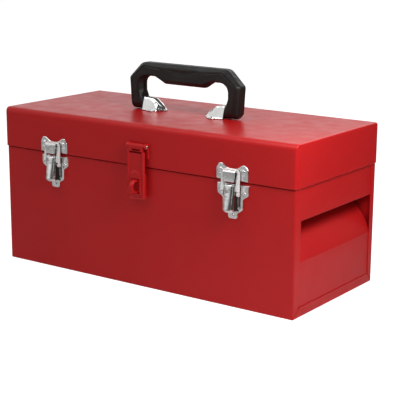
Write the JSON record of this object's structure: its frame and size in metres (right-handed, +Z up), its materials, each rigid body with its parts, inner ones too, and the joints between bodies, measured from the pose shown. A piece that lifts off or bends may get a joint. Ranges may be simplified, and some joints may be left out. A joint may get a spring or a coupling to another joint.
{
  "type": "toolbox with tray",
  "caption": "Sheet-steel hand toolbox with hinged lid, draw latches, hasp and staple, folding carrying handle, end finger grips and a lift-out tray.",
  "frame": {"origin": "centre of the base's footprint, on the surface that the box stands on", "axes": "+X along the width, to the right when the front with the latches is faced; -Y towards the front; +Z up"},
  "size_m": [0.406, 0.1961, 0.243],
  "materials": {
    "red_enamel": "glossy red enamel on sheet steel",
    "bright_plate": "bright nickel-chrome plate on pressed steel",
    "pin_steel": "zinc-plated steel",
    "black_grip": "satin moulded plastic"
  },
  "bodies": {
    "body": {"body_wrap": "red_enamel", "end_panel_right": "red_enamel", "end_panel_left": "red_enamel", "grip_rail_right": "red_enamel", "grip_rail_left": "red_enamel", "hinge_leaf_body": "red_enamel", "hinge_pin": "pin_steel", "latch_base_right": "bright_plate", "latch_base_left": "bright_plate", "lever_pin_right": "pin_steel", "lever_pin_left": "pin_steel", "latch_base_rivets": "bright_plate", "hasp_staple": "red_enamel", "staple_rivets": "red_enamel"},
    "lid": {"lid_shell": "red_enamel", "hinge_leaf_lid": "red_enamel", "latch_keeper_right": "bright_plate", "latch_keeper_left": "bright_plate", "keeper_rivets": "bright_plate", "hasp_bracket": "red_enamel", "hasp_pin": "pin_steel", "hasp_rivets": "red_enamel", "handle_bracket_right": "bright_plate", "handle_bracket_left": "bright_plate", "handle_rivets": "bright_plate", "handle_pins": "pin_steel"},
    "handle": {"handle_grip": "black_grip"},
    "hasp": {"hasp_strap": "red_enamel"},
    "lever_right": {"latch_lever_right": "bright_plate", "bail_pin_right": "pin_steel"},
    "lever_left": {"latch_lever_left": "bright_plate", "bail_pin_left": "pin_steel"},
    "bail_right": {"latch_bail_right": "bright_plate"},
    "bail_left": {"latch_bail_left": "bright_plate"},
    "tray": {"tray_tub": "red_enamel", "tray_divider": "red_enamel"}
  },
  "joints": [
    {"name": "lid_open", "type": "hinge", "parent": "body", "child": "lid", "pos_m": [0, 0.0902, 0.1374], "axis": [-1, 0, 0], "range_deg": [0, 110]},
    {"name": "handle_fold", "type": "hinge", "parent": "lid", "child": "handle", "pos_m": [0, 0, 0.1965], "axis": [1, 0, 0], "range_deg": [-90, 90]},
    {"name": "hasp_swing", "type": "hinge", "parent": "lid", "child": "hasp", "pos_m": [0, -0.0921, 0.163], "axis": [-1, 0, 0], "range_deg": [0, 150]},
    {"name": "tray_lift", "type": "slide", "parent": "body", "child": "tray", "axis": [0, 0, 1], "range_m": [0, 0.044]},
    {"name": "latch_right_open", "type": "hinge", "parent": "body", "child": "lever_right", "pos_m": [0.125, -0.093, 0.1336], "axis": [-1, 0, 0], "range_deg": [0, 105]},
    {"name": "bail_right_swing", "type": "hinge", "parent": "lever_right", "child": "bail_right", "pos_m": [0.125, -0.0923, 0.1266], "axis": [-1, 0, 0], "range_deg": [-121, 0]},
    {"name": "latch_left_open", "type": "hinge", "parent": "body", "child": "lever_left", "pos_m": [-0.125, -0.093, 0.1336], "axis": [-1, 0, 0], "range_deg": [0, 105]},
    {"name": "bail_left_swing", "type": "hinge", "parent": "lever_left", "child": "bail_left", "pos_m": [-0.125, -0.0923, 0.1266], "axis": [-1, 0, 0], "range_deg": [-121, 0]}
  ],
  "couplings": [
    {"joint": "bail_right_swing", "follows": "latch_right_open", "ratio": -1.15},
    {"joint": "bail_left_swing", "follows": "latch_left_open", "ratio": -1.15}
  ]
}
